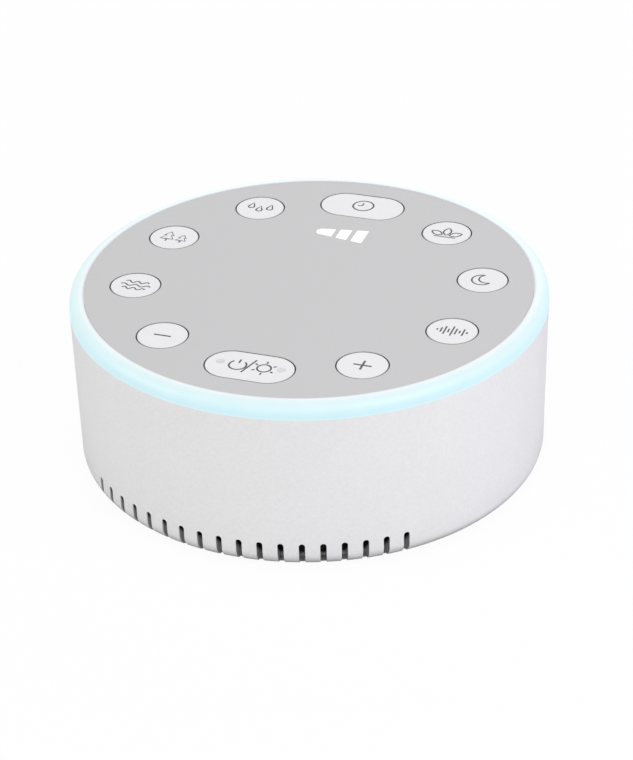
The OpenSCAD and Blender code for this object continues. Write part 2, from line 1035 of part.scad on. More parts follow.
module speaker_terminals() {
    color("sienna")
        translate([-terminals_out_r, speaker_y - TERMINALS[1] / 2, flange_z + flange_t])
            cube(TERMINALS);
}

module speaker_cone() {
    skin = 0.5;
    color("darkslategray")
        translate([0, speaker_y, 0])
            rotate_extrude()
                polygon([
                    [cone_r, flange_z],
                    [cone_r, flange_z + skin],
                    [cone_r - cone_lip + 0.2, flange_z + skin],
                    [former_r + 0.6, neck_z],
                    [former_r, neck_z],
                    [former_r, neck_z - skin],
                    [cone_r - cone_lip, flange_z]
                ]);
}

module dust_cap() {
    rim_r = former_r + 0.5;
    rise = 2.2;
    skin = 0.4;
    dome_r = (rim_r * rim_r + rise * rise) / (2 * rise);
    rim_z = neck_z - 1.2;
    centre_z = rim_z - rise + dome_r;
    color("black")
        translate([0, speaker_y, 0])
            rotate_extrude()
                intersection() {
                    difference() {
                        translate([0, centre_z])
                            circle(r = dome_r);
                        translate([0, centre_z])
                            circle(r = dome_r - skin);
                    }
                    translate([0, rim_z - dome_r])
                        square([rim_r, dome_r]);
                }
}

module voice_coil() {
    top = basket_top + washer_t + former_over;
    bottom = neck_z - 0.9;
    color("peru")
        translate([0, speaker_y, 0])
            union() {
                ring(former_r - former_t, former_r, bottom, top);
                ring(former_r - former_t / 2, former_r + winding_t, basket_top - winding_over,
                    basket_top + washer_t + winding_over);
            }
}

// ---- Battery and inlet ----

module battery_cell() {
    nub_r = 3;
    nub_l = 0.8;
    nub_root = 2;
    crimp_r = 0.5;
    crimp_in = 4;
    half = cell_l / 2;
    color("steelblue")
        translate([0, cell_y, cell_z])
            rotate([0, 90, 0])
                difference() {
                    union() {
                        translate([0, 0, -half])
                            cylinder(r = cell_r, h = cell_l - nub_l);
                        translate([0, 0, half - nub_root])
                            cylinder(r = nub_r, h = nub_root);
                    }
                    translate([0, 0, half - crimp_in])
                        rotate_extrude()
                            translate([cell_r + crimp_r / 2, 0])
                                circle(r = crimp_r);
                }
}

module battery_tabs() {
    color("lightgray")
        for (side = [-1, 1])
            translate([side * (cell_l + tab_t) / 2 - tab_t / 2, cell_y - tab_in, cell_z - tab_h / 2])
                cube([tab_t, tab_in + cell_r + tab_over, tab_h]);
}

module battery_strap() {
    in_r = cell_r + cell_gap;
    out_r = in_r + strap_t;
    drop = cell_z - frame_top;
    color("dimgray")
        translate([-strap_w / 2, cell_y, cell_z])
            rotate([90, 0, 90])
                linear_extrude(strap_w)
                    difference() {
                        union() {
                            circle(r = out_r);
                            translate([-out_r, -drop])
                                square([2 * out_r, drop]);
                        }
                        circle(r = in_r);
                        translate([-in_r, -drop - cut])
                            square([2 * in_r, drop + cut]);
                    }
}

module battery_pad() {
    color("dimgray")
        translate([-pad_l / 2, cell_y - pad_w / 2, frame_top])
            cube([pad_l, pad_w, pad_t]);
}

module power_board() {
    color("seagreen")
        union() {
            difference() {
                translate([-power_board_l / 2, power_board_y, power_board_z])
                    cube([power_board_l, power_board_w, power_board_t]);
                at_power_screws()
                    disc(small_r + hole_gap, power_board_z - cut, power_board_top + cut);
            }
            translate([-header_l / 2, header_y, power_board_top - power_board_t / 2])
                cube([header_l, header_w, header_h + power_board_t / 2]);
        }
}

module usb_socket() {
    color("silver")
        translate([0, socket_front - socket_l, socket_z])
            rotate([-90, 0, 0])
                difference() {
                    linear_extrude(socket_l)
                        oblong(socket_w, socket_h);
                    translate([0, 0, socket_back])
                        linear_extrude(socket_l)
                            oblong(socket_w - 2 * socket_wall, socket_h - 2 * socket_wall);
                }
}

module usb_tongue() {
    color("black")
        translate([-tongue_w / 2, socket_front - socket_l + socket_back, socket_z - tongue_t / 2])
            cube([tongue_w, tongue_l, tongue_t]);
}

// ---- Leads ----

function unit(v) = v / norm(v);

// Point and direction at t on the curve through the four control points c
function curve_point(c, t) =
    pow(1 - t, 3) * c[0] + 3 * pow(1 - t, 2) * t * c[1] + 3 * (1 - t) * t * t * c[2] + pow(t, 3) * c[3];
function curve_run(c, t) =
    unit(pow(1 - t, 2) * (c[1] - c[0]) + 2 * (1 - t) * t * (c[2] - c[1]) + t * t * (c[3] - c[2]));

// The ring of points round the curve at t; side is a direction that the curve never takes
function lead_ring(c, t, side) =
    let (run = curve_run(c, t), u = unit(cross(run, side)), v = cross(run, u))
    [for (k = [0 : lead_sides - 1])
        curve_point(c, t)
            + lead_r * cos(360 * k / lead_sides) * u
            + lead_r * sin(360 * k / lead_sides) * v];

// A lead from a to b that leaves and arrives along run, with slack bend
module lead(a, b, run, bend, side) {
    c = [a, a + bend * run, b - bend * run, b];
    n = lead_sides;
    points = [for (i = [0 : lead_steps]) each lead_ring(c, i / lead_steps, side)];
    skin = [for (i = [0 : lead_steps - 1], k = [0 : n - 1])
        let (p = i * n + k, q = i * n + (k + 1) % n)
        each [[p, q, q + n], [p, q + n, p + n]]];
    first = [for (k = [n - 1 : -1 : 0]) k];
    last = [for (k = [0 : n - 1]) lead_steps * n + k];
    polyhedron(points, concat(skin, [first, last]));
}

module speaker_leads() {
    bottom = flange_z + flange_t + TERMINALS[2];
    x = TERMINALS[0] / 2 - terminals_out_r;
    color("darkred")
        for (y = [-speaker_pair, speaker_pair])
            lead([x, speaker_y + y, bottom], [speaker_plug[0], speaker_plug[1] + y, board_z - connector_h],
                [0, 0, 1], speaker_bend, [0, 1, 0]);
}

module battery_leads() {
    tab_y = cell_y + cell_r + tab_over / 2;
    header_z = power_board_top + header_h / 2;
    color("red")
        for (side = [-1, 1])
            lead([side * cell_l / 2, tab_y, cell_z],
                [side * header_l / 2, header_y + header_w / 2, header_z],
                [-side, 0, 0], battery_bend, [0, 0, 1]);
}

module power_leads() {
    color("darkblue")
        for (x = [-power_pair, power_pair])
            lead([power_plug[0] + x, power_board_y + power_pad_in, power_board_top],
                [power_plug[0] + x, power_plug[1], board_z - connector_h],
                [0, 0, 1], power_bend, [1, 0, 0]);
}

housing();
base_cover();
foot_ring();
base_screws();
top_plate();
light_ring();
level_light_pipe();
main_board();
switch_bodies();
ring_leds();
level_leds();
board_chips();
board_capacitors();
board_connectors();
clamp_screws();
inner_frame();
frame_seal();
speaker_basket();
speaker_washer();
speaker_magnet();
speaker_yoke();
speaker_gasket();
speaker_surround();
speaker_spider();
speaker_terminals();
speaker_cone();
dust_cap();
voice_coil();
small_screws();
battery_cell();
battery_tabs();
battery_strap();
battery_pad();
power_board();
usb_socket();
usb_tongue();
speaker_leads();
battery_leads();
power_leads();
key_power();
key_plus();
key_noise();
key_calm();
key_relax();
key_timer();
key_rain();
key_forest();
key_ocean();
key_minus();
plunger_power();
plunger_plus();
plunger_noise();
plunger_calm();
plunger_relax();
plunger_timer();
plunger_rain();
plunger_forest();
plunger_ocean();
plunger_minus();
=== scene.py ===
"""Looks of a round bedside sound machine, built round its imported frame. Lengths are in metres."""
import json
import math

import bpy
from mathutils import Matrix, Vector


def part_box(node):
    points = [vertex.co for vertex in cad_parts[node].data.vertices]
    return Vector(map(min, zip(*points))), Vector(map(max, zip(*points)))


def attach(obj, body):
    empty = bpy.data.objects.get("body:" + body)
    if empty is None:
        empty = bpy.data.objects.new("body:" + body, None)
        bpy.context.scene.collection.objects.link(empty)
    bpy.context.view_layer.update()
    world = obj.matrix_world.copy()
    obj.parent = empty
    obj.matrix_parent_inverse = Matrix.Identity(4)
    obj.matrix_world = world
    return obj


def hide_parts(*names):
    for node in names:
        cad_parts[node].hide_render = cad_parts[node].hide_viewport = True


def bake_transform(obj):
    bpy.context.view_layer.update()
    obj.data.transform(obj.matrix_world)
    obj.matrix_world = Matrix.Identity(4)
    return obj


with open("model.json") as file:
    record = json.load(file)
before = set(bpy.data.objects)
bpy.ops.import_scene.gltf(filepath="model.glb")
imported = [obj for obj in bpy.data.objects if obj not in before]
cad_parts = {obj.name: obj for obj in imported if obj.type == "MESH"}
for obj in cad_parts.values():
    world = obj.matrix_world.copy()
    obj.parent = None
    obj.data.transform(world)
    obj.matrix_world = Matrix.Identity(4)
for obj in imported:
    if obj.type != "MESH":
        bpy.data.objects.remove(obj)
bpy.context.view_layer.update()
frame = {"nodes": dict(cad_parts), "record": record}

MM = 0.001

# ---- Camera, solved from the photograph ----

CAMERA_AZIMUTH = 19.6
CAMERA_ELEVATION = 30.55
CAMERA_ROLL = -1.63
CAMERA_DISTANCE = 669.4 * MM
CAMERA_SHIFT_RIGHT = 1.18 * MM
CAMERA_SHIFT_UP = -1.56 * MM
CAMERA_TARGET = Vector((0, 0, 18.8 * MM))
CAMERA_NEAR = 0.01
CAMERA_FAR = 50
SENSOR_WIDTH = 36
FOCAL_LENGTH = 135.85


def make_camera():
    """Puts the camera where the photograph was taken from."""
    elevation = math.radians(CAMERA_ELEVATION)
    turn = Matrix.Rotation(math.radians(CAMERA_AZIMUTH), 3, "Z")
    back = turn @ Vector((0, -math.cos(elevation), math.sin(elevation)))
    level_right = turn @ Vector((1, 0, 0))
    level_up = turn @ Vector((0, math.sin(elevation), math.cos(elevation)))
    roll = math.radians(CAMERA_ROLL)
    right = math.cos(roll) * level_right + math.sin(roll) * level_up
    up = math.cos(roll) * level_up - math.sin(roll) * level_right
    data = bpy.data.cameras.new("camera")
    data.sensor_width = SENSOR_WIDTH
    data.lens = FOCAL_LENGTH
    data.clip_start = CAMERA_NEAR
    data.clip_end = CAMERA_FAR
    camera = bpy.data.objects.new("camera", data)
    place = (CAMERA_TARGET + back * CAMERA_DISTANCE
             + right * CAMERA_SHIFT_RIGHT + up * CAMERA_SHIFT_UP)
    facing = Matrix((right, up, back)).transposed().to_4x4()
    camera.matrix_world = Matrix.Translation(place) @ facing
    bpy.context.scene.collection.objects.link(camera)
    bpy.context.scene.camera = camera


make_camera()

# ---- Sizes that the finishes and the printing follow, in millimetres ----

PLATE_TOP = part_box("top_plate")[1].z / MM
RING_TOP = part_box("light_ring")[1].z / MM
RING_OUT_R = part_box("light_ring")[1].x / MM
RING_W = 3.3
RING_SIDE = 3.64
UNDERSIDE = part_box("housing")[0].z / MM
BASE_R = 54.25
EDGE_R = 3.5
EDGE_MID_R = BASE_R - EDGE_R
EDGE_MID_Z = UNDERSIDE + EDGE_R
VENT_IN_R = 49.2
VENT_TOP = 7.2
SLEEVE_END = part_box("battery_cell")[1].x / MM - 1
SLEEVE_EDGE = 0.1

# Where a painted shade starts and where it is full: depths, radii and heights
VENT_SIDE_FADE = (0.03, 0.45)
VENT_END_FADE = (VENT_IN_R + 0.5, VENT_IN_R + 0.2)
VENT_FOOT_FADE = (UNDERSIDE + 0.05, UNDERSIDE + 0.15)
VENT_HEAD_FADE = (VENT_TOP + 0.5, VENT_TOP + 0.2)
VENT_MOUTH_FADE = (0.5, 4.0)
APERTURE_FADE = (PLATE_TOP - 0.1, PLATE_TOP - 0.16)
PLATE_RIM_FADE = (50, 49)
CAP_SIDE_FADE = (PLATE_TOP - 0.02, PLATE_TOP - 0.08)

# ---- Materials ----

# Noise lies mostly between these two
NOISE_LOW = 0.3
NOISE_HIGH = 0.7


def shade(colour, factor):
    """A colour made lighter or darker, kept below pure white."""
    return tuple(min(0.98, part * factor) for part in colour)


class Finish:
    """A material with a Principled shader, and the node helpers that the finishes share.
    Places and sizes in it are millimetres of the object's own coordinates."""

    def __init__(self, name, roughness=0.5, metallic=0.0):
        self.material = bpy.data.materials.new(name)
        self.material.use_nodes = True
        self.nodes = self.material.node_tree.nodes
        self.links = self.material.node_tree.links
        self.shader = self.nodes["Principled BSDF"]
        self.shader.inputs["Roughness"].default_value = roughness
        self.shader.inputs["Metallic"].default_value = metallic
        coordinates = self.nodes.new("ShaderNodeTexCoord")
        self.place = self.scaled(coordinates.outputs["Object"], (1 / MM, 1 / MM, 1 / MM))

    def scaled(self, vector, scale):
        """A vector times a scale along each axis."""
        made = self.nodes.new("ShaderNodeMapping")
        made.inputs["Scale"].default_value = scale
        self.links.new(vector, made.inputs["Vector"])
        return made.outputs["Vector"]

    def put(self, value, socket):
        """Links a socket, or sets a number or a colour."""
        if isinstance(value, bpy.types.NodeSocket):
            self.links.new(value, socket)
        elif isinstance(value, tuple):
            socket.default_value = (*value, 1)
        else:
            socket.default_value = value

    def math(self, operation, first, second=0.0):
        """The result of a sum on two numbers or sockets."""
        made = self.nodes.new("ShaderNodeMath")
        made.operation = operation
        self.put(first, made.inputs[0])
        self.put(second, made.inputs[1])
        return made.outputs["Value"]

    def axes(self):
        """The place along X, Y and Z."""
        made = self.nodes.new("ShaderNodeSeparateXYZ")
        self.links.new(self.place, made.inputs["Vector"])
        return made.outputs["X"], made.outputs["Y"], made.outputs["Z"]

    def length(self, first, second):
        """The length of a line from its two parts."""
        squares = self.math("ADD", self.math("POWER", first, 2.0), self.math("POWER", second, 2.0))
        return self.math("SQRT", squares)

    def radius(self):
        """Distance from the object's upright axis."""
        x, y, _ = self.axes()
        return self.length(x, y)

    def step(self, value, start, end):
        """0 where value is at start and 1 where it is at end, smooth between them."""
        made = self.nodes.new("ShaderNodeMapRange")
        made.interpolation_type = "SMOOTHSTEP"
        made.inputs["From Min"].default_value = min(start, end)
        made.inputs["From Max"].default_value = max(start, end)
        made.inputs["To Min"].default_value = 0.0 if start < end else 1.0
        made.inputs["To Max"].default_value = 1.0 if start < end else 0.0
        self.put(value, made.inputs["Value"])
        return made.outputs["Result"]

    def spread(self, factor, low, high):
        """A factor from 0 to 1 as a number from low to high."""
        made = self.nodes.new("ShaderNodeMapRange")
        made.inputs["To Min"].default_value = low
        made.inputs["To Max"].default_value = high
        self.put(factor, made.inputs["Value"])
        return made.outputs["Result"]

    def mix(self, factor, first, second, blend="MIX"):
        """Two colours mixed by a factor."""
        made = self.nodes.new("ShaderNodeMix")
        made.data_type = "RGBA"
        made.blend_type = blend
        self.put(factor, made.inputs[0])
        self.put(first, made.inputs[6])
        self.put(second, made.inputs[7])
        return made.outputs[2]

    def ramp(self, factor, *stops):
        """Colours at positions along a factor."""
        made = self.nodes.new("ShaderNodeValToRGB")
        elements = made.color_ramp.elements
        while len(elements) < len(stops):
            elements.new(0.5)
        for element, (position, colour) in zip(elements, stops):
            element.position = position
            element.color = (*colour, 1)
        self.put(factor, made.inputs["Fac"])
        return made.outputs["Color"]

    def noise(self, size, detail=2.0, stretch=(1, 1, 1)):
        """Noise whose features are size across, drawn out along an axis by its stretch."""
        made = self.nodes.new("ShaderNodeTexNoise")
        made.inputs["Scale"].default_value = 1 / size
        made.inputs["Detail"].default_value = detail
        vector = self.scaled(self.place, tuple(1 / part for part in stretch))
        self.links.new(vector, made.inputs["Vector"])
        return made.outputs["Fac"]

    def mottle(self, size, detail, low, high, stretch=(1, 1, 1)):
        """Noise that runs from one colour to another."""
        return self.ramp(self.noise(size, detail, stretch), (NOISE_LOW, low), (NOISE_HIGH, high))

    def waves(self, pitch, axis="Z", distortion=0.0):
        """Stripes across an axis, pitch apart."""
        made = self.nodes.new("ShaderNodeTexWave")
        made.bands_direction = axis
        made.inputs["Scale"].default_value = math.pi / (10 * pitch)
        made.inputs["Distortion"].default_value = distortion
        self.links.new(self.place, made.inputs["Vector"])
        return made.outputs["Fac"]

    def cells(self, size):
        """Distance to the middle of the nearest cell, for cells that are size across."""
        made = self.nodes.new("ShaderNodeTexVoronoi")
        made.inputs["Scale"].default_value = 1 / size
        self.links.new(self.place, made.inputs["Vector"])
        return made.outputs["Distance"]

    def colour(self, value):
        """Sets the base colour."""
        self.put(value, self.shader.inputs["Base Color"])

    def roughness(self, factor, low, high):
        """Lets the roughness vary with a factor."""
        self.links.new(self.spread(factor, low, high), self.shader.inputs["Roughness"])

    def bump(self, height, depth):
        """Relief of the given depth; a second call adds to the first."""
        made = self.nodes.new("ShaderNodeBump")
        made.inputs["Distance"].default_value = depth * MM
        self.put(height, made.inputs["Height"])
        normal = self.shader.inputs["Normal"]
        if normal.is_linked:
            self.links.new(normal.links[0].from_socket, made.inputs["Normal"])
        self.links.new(made.outputs["Normal"], normal)

    def glow(self, colour, strength):
        """Sets the light that the surface gives off."""
        self.put(colour, self.shader.inputs["Emission Color"])
        self.shader.inputs["Emission Strength"].default_value = strength


def drifting(made, colour, drift, size=9.0):
    """A colour that drifts a little over the surface."""
    return made.mottle(size, 3.0, shade(colour, 1 - drift), shade(colour, 1 + drift))


def moulded(name, colour, roughness=0.45, grain=0.35, depth=0.01, drift=0.03):
    """Moulded plastic: a fine grain, and a faint drift of colour and gloss."""
    made = Finish(name)
    made.colour(drifting(made, colour, drift))
    made.roughness(made.noise(grain * 3, 2.0), roughness - 0.06, roughness + 0.06)
    made.bump(made.noise(grain, 3.0), depth)
    return made.material


def metal(name, colour, roughness=0.3, stretch=(1, 1, 12)):
    """Drawn or plated metal with fine lines along an axis."""
    made = Finish(name, roughness, metallic=1.0)
    lines = made.noise(0.8, 4.0, stretch)
    made.colour(made.ramp(lines, (0.25, shade(colour, 0.86)), (0.75, shade(colour, 1.08))))
    made.roughness(lines, roughness - 0.08, roughness + 0.12)
    made.bump(lines, 0.004)
    return made.material


WALL_WHITE = (0.865, 0.865, 0.87)
PLATE_GREY = (0.603, 0.601, 0.604)
CAP_WHITE = (0.87, 0.86, 0.875)
# Painted shade on the walls of the gaps round the keys
GAP_PAINTED_SHADE = (0.26, 0.26, 0.265)
INK_GREY = (0.075, 0.075, 0.08)
# Painted shade on the status lenses: the lens a little darker than the cap, and its rim darker
# still
LENS_SHADE_GREY = (0.74, 0.74, 0.76)
LENS_RIM_SHADE_GREY = (0.62, 0.62, 0.64)

# Painted light and shadow in a vent: pale paint low down where light would fall, and a painted
# shadow above a line that slopes down inwards along the light; near the mouth the pale part is
# darkened as painted shade.
VENT_LIT_PAINT = (0.965, 0.965, 0.97)
VENT_SHADOW_PAINT = (0.008, 0.008, 0.009)
VENT_SHADOW_SLOPE = 0.9
VENT_LIGHT_AND_SHADOW_STOPS = ((0.0, VENT_LIT_PAINT), (0.72, VENT_LIT_PAINT), (0.82, shade(VENT_LIT_PAINT, 0.55)), (0.9, VENT_SHADOW_PAINT))
VENT_MOUTH_SHADE = (0.4, 0.4, 0.4)

# Light of the ring from the plate's edge over the top and down the side
RING_STOPS = (
    (0.0, (0.70, 0.71, 0.74)),
    (0.07, (0.84, 0.90, 0.925)),
    (0.15, (0.80, 0.912, 0.93)),
    (0.35, (0.74, 0.905, 0.93)),
    (0.75, (0.665, 0.90, 0.95)),
    (0.93, (0.655, 0.90, 0.965)),
    (1.0, (0.75, 0.93, 0.96)),
)
RING_BODY = (0.5, 0.5, 0.5)
RING_GLOW = 0.52
PIPE_BODY = (0.55, 0.55, 0.55)
PIPE_GLOW = 0.5

TRACK_GREEN = (0.03, 0.30, 0.12)
MASK_GREEN = (0.01, 0.15, 0.06)
WEAVE_GREEN = (0.05, 0.28, 0.12)
SLEEVE_BLUES = ((0.02, 0.10, 0.33), (0.03, 0.13, 0.40))
CELL_STEELS = ((0.48, 0.47, 0.45), (0.62, 0.61, 0.58))
COPPERS = ((0.42, 0.16, 0.06), (0.86, 0.44, 0.22))


def wall_finish(name):
    """The housing: satin white with a faint mottle, and painted light and shadow in the vents."""
    made = Finish(name)
    _, _, z = made.axes()
    radius = made.radius()
    beyond = made.math("MAXIMUM", made.math("SUBTRACT", radius, EDGE_MID_R), 0.0)
    below = made.math("MINIMUM", made.math("SUBTRACT", z, EDGE_MID_Z), 0.0)
    depth = made.math("SUBTRACT", EDGE_R, made.length(beyond, below))
    sides = made.step(depth, *VENT_SIDE_FADE)
    ends = made.math("MULTIPLY", made.step(radius, *VENT_END_FADE), made.step(z, *VENT_FOOT_FADE))
    within = made.math("MAXIMUM", sides, ends)
    vent_paint_mask = made.math("MULTIPLY", within, made.step(z, *VENT_HEAD_FADE))
    # Painted shadow above a line that slopes down into each vent, painted light below it, and
    # painted shade near the mouth
    inward = made.math("SUBTRACT", BASE_R, radius)
    entry = made.math("ADD", z, made.math("MULTIPLY", inward, VENT_SHADOW_SLOPE))
    up_vent = made.math("DIVIDE", made.math("SUBTRACT", entry, UNDERSIDE), VENT_TOP - UNDERSIDE)
    mouth_shade = made.mix(made.step(inward, *VENT_MOUTH_FADE), VENT_MOUTH_SHADE, (1.0, 1.0, 1.0))
    vent_light_and_shadow = made.mix(1.0, made.ramp(up_vent, *VENT_LIGHT_AND_SHADOW_STOPS), mouth_shade, "MULTIPLY")
    grain = made.noise(0.7, 3.0)
    white = made.ramp(
        grain, (NOISE_LOW, shade(WALL_WHITE, 0.97)), (NOISE_HIGH, shade(WALL_WHITE, 1.02)))
    soft = made.mottle(14.0, 2.0, (0.985, 0.985, 0.985), (1, 1, 1))
    # In the vents the painted light and shadow takes the place of the wall's colour
    made.colour(made.mix(vent_paint_mask, made.mix(1.0, white, soft, "MULTIPLY"), vent_light_and_shadow))
    made.roughness(made.noise(1.1, 2.0), 0.42, 0.56)
    made.bump(grain, 0.035)
    return made.material


def plate_finish(name):
    """The top plate: even matt grey, with painted shade on the walls of the key apertures."""
    made = Finish(name)
    _, _, z = made.axes()
    within_rim = made.step(made.radius(), *PLATE_RIM_FADE)
    walls = made.math("MULTIPLY", made.step(z, *APERTURE_FADE), within_rim)
    made.colour(made.mix(walls, drifting(made, PLATE_GREY, 0.01, 0.2), GAP_PAINTED_SHADE))
    made.roughness(made.noise(0.6, 2.0), 0.48, 0.58)
    made.bump(made.noise(0.15, 2.0), 0.003)
    return made.material


def cap_finish(name):
    """The key caps: satin white on top, with painted shade on their sides in the gap round them."""
    made = Finish(name)
    _, _, z = made.axes()
    walls = made.step(z, *CAP_SIDE_FADE)
    made.colour(made.mix(walls, drifting(made, CAP_WHITE, 0.01, 0.35), GAP_PAINTED_SHADE))
    made.roughness(made.noise(0.8, 2.0), 0.42, 0.52)
    made.bump(made.noise(0.25, 2.0), 0.003)
    return made.material


def ring_finish(name):
    """The lit ring: frosted, near white at the plate and pale cyan down its side."""
    made = Finish(name, 0.38)
    _, _, z = made.axes()
    from_plate = made.math("SUBTRACT", made.radius(), RING_OUT_R - RING_W)
    across = made.math("DIVIDE", from_plate, RING_W)
    down = made.math("DIVIDE", made.math("SUBTRACT", RING_TOP, z), RING_SIDE)
    along = made.math("MULTIPLY", made.math("ADD", across, down), 0.5)
    cloud = made.mottle(5.0, 2.0, (0.97, 0.985, 0.985), (1, 1, 1))
    light = made.mix(1.0, made.ramp(along, *RING_STOPS), cloud, "MULTIPLY")
    made.colour(made.mix(1.0, light, RING_BODY, "MULTIPLY"))
    made.glow(light, RING_GLOW)
    made.bump(made.noise(0.3, 2.0), 0.004)
    return made.material


def pipe_finish(name):
    """The lit windows of the level indicator."""
    made = Finish(name, 0.35)
    white = made.mottle(1.5, 2.0, (0.95, 0.95, 0.96), (0.98, 0.98, 0.98))
    made.colour(made.mix(1.0, white, PIPE_BODY, "MULTIPLY"))
    made.glow(white, PIPE_GLOW)
    made.bump(made.noise(0.3, 2.0), 0.003)
    return made.material


def ink_and_shade_finish(name, colour):
    """A matt colour, a little uneven: printed ink on the legends, and painted shade on the lenses
    and their rims.
    """
    made = Finish(name)
    made.colour(drifting(made, colour, 0.12, 0.6))
    made.roughness(made.noise(0.2, 2.0), 0.5, 0.65)
    return made.material


def board_finish(name):
    """Solder mask with paler tracks under it."""
    made = Finish(name, 0.32)
    tracks = made.math("ABSOLUTE", made.math("SUBTRACT", made.noise(7.0, 1.0), 0.5))
    weave = made.math("MULTIPLY", made.waves(0.9, "X"), made.waves(0.9, "Y"))
    mask = made.ramp(tracks, (0.0, TRACK_GREEN), (0.03, TRACK_GREEN), (0.04, MASK_GREEN))
    made.colour(made.mix(made.spread(weave, 0.0, 0.12), mask, WEAVE_GREEN))
    made.bump(made.step(tracks, 0.045, 0.03), 0.03)
    return made.material


def sleeve_finish(name):
    """The cell: a blue shrink sleeve that leaves its two metal ends bare."""
    made = Finish(name, 0.28)
    x, _, _ = made.axes()
    end = made.step(made.math("ABSOLUTE", x), SLEEVE_END - SLEEVE_EDGE, SLEEVE_END + SLEEVE_EDGE)
    blue = made.mottle(3.0, 3.0, *SLEEVE_BLUES, stretch=(6, 1, 1))
    steel = made.mottle(0.8, 3.0, *CELL_STEELS)
    made.colour(made.mix(end, blue, steel))
    made.links.new(end, made.shader.inputs["Metallic"])
    made.bump(made.noise(2.0, 2.0, (4, 1, 1)), 0.02)
    return made.material


def coil_finish(name):
    """Copper wire, one turn beside the next."""
    made = Finish(name, 0.3, metallic=1.0)
    turns = made.waves(0.12)
    made.colour(made.ramp(turns, (0.1, COPPERS[0]), (0.8, COPPERS[1])))
    made.roughness(made.noise(1.0, 2.0), 0.22, 0.4)
    made.bump(turns, 0.03)
    return made.material


def cloth_finish(name, dark, light, pitch):
    """Cloth or paper: crossed threads."""
    made = Finish(name, 0.8)
    threads = made.math("MAXIMUM", *[made.waves(pitch, axis, distortion=0.4) for axis in "XY"])
    woven = made.ramp(threads, (0.2, dark), (0.9, light))
    made.colour(made.mix(made.noise(4.0, 2.0), woven, light))
    made.bump(threads, 0.06)
    return made.material


def led_finish(name):
    """An LED: white moulding with phosphor mottled into it."""
    made = Finish(name, 0.3)
    made.colour(made.ramp(made.cells(1.4), (0.2, (0.85, 0.72, 0.22)), (0.6, (0.88, 0.87, 0.82))))
    made.bump(made.noise(0.3, 2.0), 0.01)
    return made.material


FINISHES = {
    "housing": wall_finish("finish_wall"),
    "cover_plastic": moulded("finish_cover", (0.78, 0.78, 0.785), depth=0.02),
    "foot_rubber": moulded("finish_rubber", (0.06, 0.06, 0.065), 0.8, 0.3, 0.03, 0.1),
    "top_plate": plate_finish("finish_plate"),
    "light_ring": ring_finish("finish_ring"),
    "light_pipe": pipe_finish("finish_pipe"),
    "key_cap": cap_finish("finish_cap"),
    "frame_plastic": moulded("finish_frame", (0.55, 0.55, 0.55)),
    "dark_plastic": moulded("finish_dark", (0.03, 0.03, 0.035), drift=0.1),
    "plunger_plastic": moulded("finish_plunger", (0.72, 0.70, 0.62)),
    "connector_plastic": moulded("finish_connector", (0.80, 0.77, 0.66)),
    "circuit_board": board_finish("finish_board"),
    "led": led_finish("finish_led"),
    "steel": metal("finish_steel", (0.66, 0.66, 0.67)),
    "can_metal": metal("finish_can", (0.80, 0.80, 0.82), 0.25),
    "magnet": moulded("finish_magnet", (0.05, 0.05, 0.055), 0.6, 0.5, 0.03, 0.15),
    "basket": metal("finish_basket", (0.10, 0.10, 0.105), 0.42),
    "foam": moulded("finish_foam", (0.03, 0.03, 0.03), 0.9, 0.5, 0.12, 0.2),
    "cone_paper": cloth_finish("finish_cone", (0.02, 0.02, 0.022), (0.05, 0.05, 0.055), 0.7),
    "spider_cloth": cloth_finish("finish_spider", (0.34, 0.20, 0.05), (0.60, 0.41, 0.13), 0.5),
    "coil_copper": coil_finish("finish_copper"),
    "cell_sleeve": sleeve_finish("finish_sleeve"),
    "nickel": metal("finish_nickel", (0.72, 0.69, 0.64), stretch=(12, 1, 1)),
    "lead_red": moulded("finish_red_lead", (0.45, 0.01, 0.01), 0.4),
    "lead_blue": moulded("finish_blue_lead", (0.01, 0.03, 0.30), 0.4),
}
INK_FINISH = ink_and_shade_finish("finish_ink", INK_GREY)
# The lenses and their rims carry painted shade
LENS_SHADE_FINISH = ink_and_shade_finish("finish_lens", LENS_SHADE_GREY)
LENS_RIM_SHADE_FINISH = ink_and_shade_finish("finish_lens_rim", LENS_RIM_SHADE_GREY)

SLOTS = {part["node"]: part["material_slot"] for part in frame["record"]["subparts"]}


def finish_nodes():
    """Gives each carried-over node the finish of its slot."""
    for name, node in frame["nodes"].items():
        node.data.materials.clear()
        node.data.materials.append(FINISHES[SLOTS[name]])


finish_nodes()

# ---- The speaker's surround and spider, which stretch as the cone moves, as plain copies of their nodes ----


def make_flexing(name):
    """A copy of a node, which takes its place while the node is hidden."""
    piece = bpy.data.objects.new(name + "_flexing", frame["nodes"][name].data.copy())
    bpy.context.scene.collection.objects.link(piece)
    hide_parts(name)
    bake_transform(piece)


for joint in frame["record"]["behaviour"]["joints"]:
    for flexing in joint.get("deforming_nodes", []):
        make_flexing(flexing["node"])

# ---- Printing on the keys, in millimetres from a key's middle ----

STROKE = 0.43
FINE_STROKE = 0.39
BOLD_STROKE = 0.52
STROKE_FLATNESS = 0.1


def arc(x, y, radius, start, end, steps=24):
    """Points on a circle from angle start to angle end, in degrees."""
    turns = [math.radians(start + (end - start) * step / steps) for step in range(steps + 1)]
    return [(x + radius * math.cos(turn), y + radius * math.sin(turn)) for turn in turns]


def wave(x, y, length, height, waves, steps=36):
    """A sine line centred on x and y."""
    return [(x + length * (step / steps - 0.5),
             y + height * math.sin(2 * math.pi * waves * step / steps))
            for step in range(steps + 1)]


def mirrored(points):
    """A closed outline from its right half, which starts and ends on the line x = 0."""
    return points + [(-x, y) for x, y in reversed(points[1:-1])]


def placed(points, x, y, turn=0.0, size=1.0):
    """Points turned by an angle in degrees, sized and moved."""
    c = math.cos(math.radians(turn)) * size
    s = math.sin(math.radians(turn)) * size
    return [(x + c * px - s * py, y + s * px + c * py) for px, py in points]


